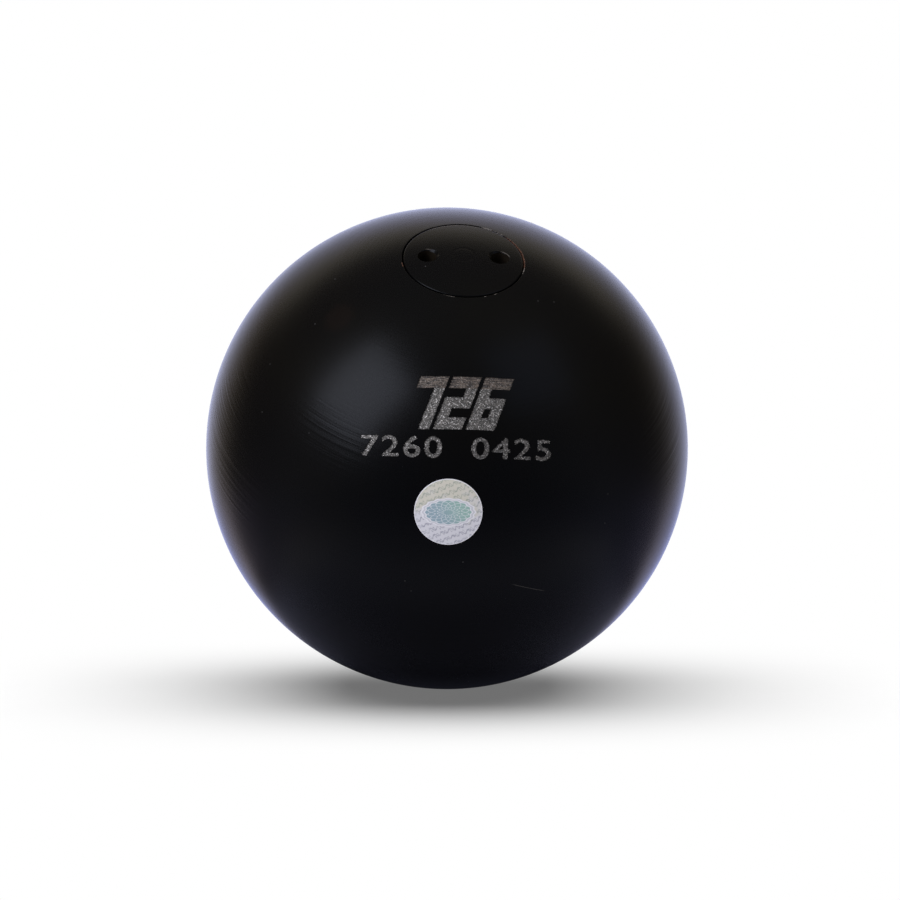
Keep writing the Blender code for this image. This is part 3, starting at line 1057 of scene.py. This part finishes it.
def black_coat(name):
    """Satin black coat over turned iron, with dusty specks, wear to bare metal and rust at the seam, and painted
    highlights on the plug's top edge, the spanner holes' rims and a small dent.
    """
    finish = Finish(name)
    place = finish.place()
    along_axis = finish.on_plug_axis(place)
    flat = flattened(finish, along_axis)
    cloud = finish.noise(place, 26.0, detail=3.0)
    grain = finish.noise(place, 1900.0)
    flakes = finish.remap(finish.noise(place, 2600.0, detail=3.0), 0.36, 0.60)

    # Dusty specks, and a painted glint on a small dent in the plug
    dust_and_glint = spots(finish, place, DUST_AND_GLINT_PX, *DUST_AND_GLINT_SIZE)
    stain = finish.times(spots(finish, place, STAIN_PX, *STAIN_SIZE), cloud)
    hairline = scratch(finish, place, SCRATCH_PX, SCRATCH_WIDTH)
    port_edge = seam_edge(finish, flat, PORT_RADIUS + EDGE_BREAK * 0.5)
    plug_edge = seam_edge(finish, flat, HEAD_RADIUS - PLUG_EDGE_BREAK * 0.5)
    rust = finish.times(
        seam_stretches(finish, flat, RUSTED_SEAM_PX), port_edge, finish.remap(flakes, 0.0, 1.0, 0.15, 0.85),
    )
    # Painted highlights on the spanner holes' rims
    pin_highlight = spots(finish, place, PIN_RIM_HIGHLIGHT_PX, *PIN_RIM_HIGHLIGHT_SIZE)
    # Bare metal at the seam, and painted highlights along the plug's top edge and on the spanner holes' rims
    worn_and_highlights = finish.most(
        finish.times(seam_stretches(finish, flat, WORN_SEAM_PX), port_edge, flakes, 0.42),
        finish.times(seam_stretches(finish, flat, PLUG_EDGE_HIGHLIGHT_PX), plug_edge, 0.32),
        finish.times(pin_rims(finish, flat), pin_highlight, 0.22),
    )
    dull = finish.most(rust, worn_and_highlights, dust_and_glint)

    colour = finish.blend(finish.remap(cloud, 0.35, 0.7), COAT_COLOUR, COAT_COLOUR_WARM)
    for share, mark_colour in (
        (finish.times(dust_and_glint, 0.35), DUST_AND_GLINT_COLOUR),
        (finish.times(stain, 0.03), STAIN_COLOUR),
        (finish.times(hairline, 0.25), SCRATCH_COLOUR),
        (worn_and_highlights, WORN_AND_HIGHLIGHT_COLOUR),
        (rust, RUST_COLOUR),
    ):
        colour = finish.blend(share, colour, mark_colour)

    sheen = finish.plus(
        finish.remap(cloud, 0.3, 0.75, 0.27, 0.31), finish.remap(grain, 0.3, 0.7, -0.015, 0.015),
    )
    sheen = finish.math("ADD", sheen, finish.times(dull, 0.4), clamp=True)

    depth = finish.remap(finish.noise(place, 34.0, detail=1.0), 0.46, 0.66, 1.0, 2.2)
    for pixels, size, deeper in DEEPER_RINGS:
        patch = spots(finish, place, pixels, *size)
        depth = finish.plus(depth, finish.times(patch, deeper))
    relief = None
    for feed, height in TURNING_RINGS:
        rings = finish.less(turning_marks(finish, along_axis, feed), 0.5)
        relief = finish.bump(finish.times(rings, depth), height, relief)
    relief = finish.bump(grain, COAT_GRAIN_HEIGHT, relief)
    relief = finish.bump(dull, WEAR_HEIGHT, relief)
    return finish.surfaced(Base_Color=colour, Roughness=sheen, IOR=COAT_IOR, Normal=relief)


def marked_metal():
    """Bare metal in the marks: dark and grainy with bright flecks, streaked along the top band."""
    finish = Finish("marked_metal")
    place = finish.place()
    axes = mark_frame(BLOCK_PX, BLOCK_TURN).to_3x3()
    across, height = (finish.dot(place, axes.col[number]) for number in range(2))
    top_band = BLOCK_HEIGHT / 2 - BLOCK_TOP_BAND
    banded = finish.remap(height, top_band - 0.0001, top_band + 0.0001)

    flecks = finish.noise(place, 3300.0, detail=3.0, roughness=0.7)
    coarse = finish.noise(place, 900.0)
    lines = finish.joined(finish.times(across, 500.0), finish.times(height, 3400.0))
    streaks = finish.noise(lines, 1.0, roughness=0.6)

    grey = finish.blend(finish.remap(coarse, 0.3, 0.7), tone(59, 57, 53), tone(88, 84, 79))
    brown = finish.blend(finish.remap(streaks, 0.38, 0.62), tone(34, 29, 25), tone(90, 79, 69))
    colour = finish.blend(banded, grey, brown)
    bright = finish.times(finish.remap(flecks, 0.54, 0.70), finish.remap(banded, 0.0, 1.0, 1.0, 0.30))
    colour = finish.blend(bright, colour, tone(211, 205, 198))
    colour = finish.blend(finish.remap(flecks, 0.47, 0.34), colour, tone(34, 32, 30))
    return finish.surfaced(
        Base_Color=colour, Metallic=0.55, Roughness=finish.remap(flecks, 0.4, 0.7, 0.62, 0.38),
        Normal=finish.bump(flecks, 0.00012),
    )


def turned_metal(name, light, dark, feed, roughness):
    """Machined metal: fine rings round the plug's axis and a little oil staining."""
    finish = Finish(name)
    place = finish.place()
    along_axis = finish.on_plug_axis(place)
    parts = finish.split(along_axis)
    aside = finish.length(flattened(finish, along_axis))
    out, along = (finish.math("DIVIDE", value, feed) for value in (aside, parts[2]))
    ring = finish.joined(out, along, finish.times(parts[0], 40.0))
    cuts = finish.noise(ring, 1.0)
    stain = finish.noise(place, 160.0, detail=4.0, roughness=0.6)
    return finish.surfaced(
        Base_Color=finish.blend(finish.remap(stain, 0.4, 0.68), light, dark), Metallic=1.0,
        Roughness=finish.remap(stain, 0.35, 0.7, roughness - 0.05, roughness + 0.12),
        Normal=finish.bump(cuts, feed * 0.03),
    )


def red_fibre():
    """Vulcanised fibre: felted strands pressed into a dull red sheet."""
    finish = Finish("red_fibre")
    place = finish.place()
    strands = finish.noise(place, 900.0, detail=5.0, roughness=0.7, distortion=1.5)
    patches = finish.noise(place, 210.0)
    colour = finish.blend(finish.remap(strands, 0.35, 0.65), tone(104, 38, 30), tone(148, 66, 52))
    colour = finish.blend(finish.remap(patches, 0.5, 0.8, 0.0, 0.4), colour, tone(84, 44, 38))
    return finish.surfaced(
        Base_Color=colour, Roughness=finish.remap(strands, 0.3, 0.7, 0.62, 0.8), IOR=1.46,
        Normal=finish.bump(strands, 0.00006),
    )


def cut_rubber():
    """Dark rubber, dusty and dimpled where it was cut."""
    finish = Finish("cut_rubber")
    place = finish.place()
    dimples = finish.noise(place, 1200.0, detail=3.0)
    bloom = finish.noise(place, 120.0, detail=3.0)
    return finish.surfaced(
        Base_Color=finish.blend(finish.remap(bloom, 0.4, 0.75), tone(34, 33, 33), tone(58, 57, 56)),
        Roughness=finish.remap(dimples, 0.3, 0.7, 0.7, 0.9), IOR=1.5,
        Normal=finish.bump(dimples, 0.00004),
    )


def dull_lead():
    """Cast lead, greyed by air and rubbed brighter on its high places."""
    finish = Finish("dull_lead")
    place = finish.place()
    skin = finish.noise(place, 420.0, detail=5.0, roughness=0.65)
    pits = finish.noise(place, 1700.0)
    return finish.surfaced(
        Base_Color=finish.blend(finish.remap(skin, 0.38, 0.66), tone(118, 121, 126), tone(160, 163, 168)),
        Metallic=0.9, Roughness=finish.remap(skin, 0.3, 0.7, 0.62, 0.46),
        Normal=finish.bump(pits, 0.00003),
    )


def seal_rows(finish, x, y):
    """Slanted rows of small looped waves, as printed fine work. Returns the mask of their lines."""
    slope_cos, slope_sin = math.cos(SEAL_ROW_SLOPE), math.sin(SEAL_ROW_SLOPE)
    run = finish.plus(finish.times(x, slope_cos), finish.times(y, slope_sin))
    rise = finish.less(finish.times(y, slope_cos), finish.times(x, slope_sin))
    row = finish.math("DIVIDE", rise, SEAL_ROW_PITCH)
    number = finish.math("FLOOR", row)
    within = finish.less(finish.math("FRACT", row), 0.5)
    start = finish.times(finish.math("SINE", finish.times(number, 12.9)), 9.0)
    phase = finish.plus(finish.times(run, math.tau / SEAL_WAVE), start)
    swell_place = finish.joined(finish.times(run, 900.0), finish.times(number, 7.3))
    swell = finish.remap(finish.noise(swell_place, 1.0, detail=1.0), 0.3, 0.7, 0.14, 0.34)
    first = finish.times(finish.math("SINE", phase), swell)
    second = finish.times(finish.math("SINE", finish.times(phase, 0.5)), swell, -0.9)
    nearest = finish.math("MINIMUM", finish.apart(within, first), finish.apart(within, second))
    return finish.remap(nearest, 0.12, 0.06)


def seal_rosette(finish, x, y):
    """How far a point is from the middle of the long rosette, 1 on its edge, and its angle."""
    across = finish.math("DIVIDE", x, ROSETTE_HALF_LENGTH)
    up = finish.math("DIVIDE", y, ROSETTE_HALF_HEIGHT)
    return finish.length(finish.joined(across, up)), finish.math("ARCTAN2", up, across)


def ring_of_petals(finish, far, angle, radius, swing, petals, turn):
    """One closed wavy line of the rosette, as a mask."""
    wave = finish.math("SINE", finish.plus(finish.times(angle, petals), turn))
    off = finish.apart(far, finish.plus(finish.times(wave, swing), radius))
    return finish.remap(off, ROSETTE_LINE_WIDTH, ROSETTE_LINE_WIDTH * 0.5)


def foil_print():
    """The seal: pale foil with a painted shimmer from cream above to lavender below, printed rows and a teal
    rosette.
    """
    finish = Finish("foil_print")
    flat_map = finish.add("UVMap", uv_map="foil").outputs[0]
    centred = finish.vector("SUBTRACT", flat_map, (0.5, 0.5, 0.0)).outputs[0]
    x, y = (finish.times(part, 2 * SEAL_RADIUS) for part in finish.split(centred)[:2])
    place = finish.joined(x, y)

    cloud = finish.noise(place, 260.0)
    # Painted shimmer: a fixed shift from cream above to lavender below, in the foil and its ink alike, stands in
    # for the foil's colour changing with the light's angle
    height = finish.plus(y, finish.remap(cloud, 0.3, 0.7, -0.003, 0.003))
    painted_shimmer = finish.blend(finish.remap(height, 0.0045, -0.0025), FOIL_CREAM, FOIL_LAVENDER)
    rows = seal_rows(finish, x, y)
    ink = finish.blend(finish.remap(height, 0.004, -0.003), FOIL_INK_GREEN, FOIL_INK_GREY)
    fade = finish.remap(finish.noise(place, 700.0), 0.3, 0.6, 0.45, 1.0)
    colour = finish.blend(finish.times(rows, fade), painted_shimmer, ink)

    far, angle = seal_rosette(finish, x, y)
    scallop = finish.times(finish.math("COSINE", finish.times(angle, 16.0)), 0.03)
    edge = finish.less(far, scallop)
    colour = finish.blend(finish.remap(edge, 1.18, 1.13), colour, FOIL_LIGHT)
    outline = finish.times(finish.remap(edge, 1.10, 1.075), finish.remap(edge, 1.0, 1.02), 0.5)
    colour = finish.blend(outline, colour, FOIL_INK_GREY)
    shift = finish.remap(finish.plus(x, finish.times(y, 0.6)), -0.004, 0.005)
    teal = finish.blend(shift, ROSETTE_BLUE, ROSETTE_GREEN)
    colour = finish.blend(finish.remap(edge, 0.97, 0.94), colour, teal)
    lines = finish.most(*(ring_of_petals(finish, far, angle, *line) for line in ROSETTE_LINES))
    colour = finish.blend(finish.times(lines, 0.65), colour, FOIL_LIGHT)

    # Painted highlight: a light band round the foil's rim
    painted_rim_highlight = finish.remap(finish.length(place), SEAL_RADIUS * 0.975, SEAL_RADIUS * 0.985)
    colour = finish.blend(painted_rim_highlight, colour, FOIL_LIGHT)
    weave = finish.noise(place, 5200.0)
    pressed = finish.bump(finish.most(rows, lines), 0.000006)
    return finish.surfaced(
        Base_Color=colour, Metallic=0.12, Roughness=finish.remap(weave, 0.3, 0.7, 0.34, 0.5), IOR=1.5,
        Normal=finish.bump(weave, 0.000004, pressed),
    )


# Table, room and lamps

def room_light(nodes, direction):
    """What the coat mirrors in a direction: a bright sweep behind the ball, a dimmer room before it."""
    right, up, back = view_axes()
    sides = {
        "right": nodes.dot(direction, right), "above": nodes.dot(direction, up),
        "behind": nodes.dot(direction, -back), "rise": nodes.split(direction)[2],
    }

    def within(stretches):
        return nodes.times(*(nodes.remap(sides[side], *limits) for side, *limits in stretches))

    colour = nodes.ramp(sides["behind"], -1.0, 1.0, ROOM_STEPS)
    for tint, *stretches in ROOM_TINTS.values():
        shade = nodes.blend(within(stretches), WHITE, tint)
        colour = nodes.vector("MULTIPLY", colour, shade).outputs[0]
    return nodes.blend(within(STRIP_PLACE), colour, nodes.ramp(sides["behind"], 0.0, 1.0, STRIP_STEPS))


def table_top():
    """White table: the real shadow near the ball with painted light over it, lightening its core and cutting it
    short before and behind, plain white further out.
    """
    finish = Finish("white_table")
    place = finish.place()
    x, y, z = finish.split(place)
    seen = finish.add("LightPath").outputs
    # Painted light: the camera sees at least 16% white over the real shadow, and all white 75 mm before and behind
    # its middle
    depth = finish.apart(y, SHADOW_MIDDLE)
    painted_shadow_lift = finish.remap(depth, *SHADOW_PAINTED_LIFT)
    out = finish.length(finish.joined(x, y))
    plain = finish.most(finish.remap(out, *TABLE_FADE), painted_shadow_lift)
    looked_at = finish.most(seen["Is Camera Ray"], seen["Is Transmission Ray"])
    inward = finish.math("DIVIDE", finish.less(y, TABLE_MIRRORED_MIDDLE), TABLE_MIRRORED_DEPTH)
    away = finish.length(finish.joined(x, inward))
    mirrored = finish.remap(away, *TABLE_MIRRORED)
    share = finish.most(finish.times(plain, looked_at), finish.times(mirrored, seen["Is Glossy Ray"]))

    near = finish.math("MINIMUM", finish.most(x, -BALL_RIM), BALL_RIM)
    from_rim = finish.heading(finish.joined(finish.less(x, near), y, finish.times(z, 0.5)))
    glow = finish.blend(seen["Is Glossy Ray"], WHITE, room_light(finish, from_rim))
    colour = finish.blend(finish.noise(place, 60.0), TABLE_COLOUR, TABLE_COLOUR_PATCH)
    # Painted shade: reflections see the table in a darker, bluer copy of its colour
    colour = finish.blend(seen["Is Glossy Ray"], colour, TABLE_COLOUR_SHADED_IN_MIRROR)
    lit = finish.add("BsdfDiffuse", {"Color": colour}).outputs[0]
    white = finish.add("Emission", {"Color": glow, "Strength": 1.0}).outputs[0]
    material = finish.finish(finish.add("MixShader", {0: share, 1: lit, 2: white}).outputs[0])
    material.cycles.emission_sampling = "NONE"
    return material


def make_table():
    shape = bmesh.new()
    bmesh.ops.create_circle(shape, cap_ends=True, radius=TABLE_RADIUS, segments=TABLE_STEPS)
    bmesh.ops.translate(shape, vec=(0.0, 0.0, -BALL_RADIUS), verts=shape.verts)
    table = finished_object("table", shape)
    table.data.materials.append(table_top())
    return table


def make_room():
    """The room round the table, seen only in the coat; the camera sees white."""
    world = bpy.data.worlds.new("studio")
    bpy.context.scene.world = world
    world.cycles_visibility.diffuse = False
    nodes = Nodes(world, "World")
    room = room_light(nodes, nodes.add("TexCoord").outputs["Generated"])
    seen = nodes.add("LightPath").outputs
    looked_at = nodes.most(seen["Is Camera Ray"], seen["Is Transmission Ray"])
    colour = nodes.blend(looked_at, room, WHITE)
    nodes.finish(nodes.add("Background", {"Color": colour, "Strength": 1.0}).outputs[0])


def make_lamp(name, direction, distance, width, height, brightness, colour, turn=0.0):
    """A soft panel that faces the ball; its brightness is that of its surface, 1 being white."""
    data = bpy.data.lights.new(name, "AREA")
    data.shape = "RECTANGLE"
    data.size = width
    data.size_y = height
    data.color = colour
    data.energy = brightness * math.pi * width * height
    lamp = placed(name, data)
    toward = Vector(direction).normalized()
    lamp.location = toward * distance
    lamp.rotation_mode = "QUATERNION"
    lamp.rotation_quaternion = toward.to_track_quat("Z", "Y") @ Quaternion((0.0, 0.0, 1.0), turn)
    lamp.visible_camera = False
    return lamp


def make_overhead_panel():
    """The wide panel above the ball that makes the table's soft shadow."""
    panel = make_lamp("overhead_panel", (0.0, 0.0, 1.0), PANEL_HEIGHT, PANEL_SIZE, PANEL_SIZE,
                      PANEL_BRIGHTNESS, (1.0, 1.0, 1.0))
    panel.visible_glossy = False


def light_only(lamps, items):
    """Keeps the softboxes off the table, so that its shadow stays round."""
    lit = bpy.data.collections.new("lit_by_softboxes")
    for item in items:
        lit.objects.link(item)
    for lamp in lamps:
        lamp.light_linking.receiver_collection = lit


# The whole object

def dress(item, body, nodes, materials):
    for material in materials:
        item.data.materials.append(material)
    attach(item, body)
    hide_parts(*nodes)
    return item


def make_object():
    steel = turned_metal("turned_steel", tone(176, 174, 170), tone(120, 112, 102), 0.00022, 0.34)
    iron = turned_metal("bored_iron", tone(132, 130, 128), tone(84, 76, 70), 0.00030, 0.42)
    drilled = turned_metal("drilled_steel", tone(70, 62, 50), tone(46, 38, 30), 0.00040, 0.55)
    lead = dull_lead()
    pieces = [
        dress(make_ball(), "ball", ["ball_body"],
              [black_coat("ball_coat"), marked_metal(), iron]),
        dress(make_plug(), "plug", ["screw_plug"],
              [black_coat("plug_coat"), steel, drilled]),
        dress(rounded_disc("washer", "sealing_washer", WASHER_BORE, 0.0002),
              "washer", ["sealing_washer"], [red_fibre()]),
        dress(rounded_disc("disc", "pressure_disc", 0.0, 0.0005),
              "ball", ["pressure_disc"], [steel]),
        dress(rounded_disc("packing", "rubber_packing", 0.0, 0.0008),
              "ball", ["rubber_packing"], [cut_rubber()]),
        dress(make_seal(), "ball", ["foil_seal"], [foil_print()]),
    ]
    for number in range(1, PELLETS + 1):
        node = "lead_pellet_%02d" % number
        pellet = make_pellet("pellet_%02d" % number, node)
        pieces.append(dress(pellet, "ball", [node], [lead]))
    return pieces


pieces = make_object()
make_table()
make_room()
make_overhead_panel()
softboxes = [make_lamp(*softbox) for softbox in SOFTBOXES]
light_only(softboxes, pieces)
make_camera()
bpy.context.scene.view_settings.view_transform = "Standard"
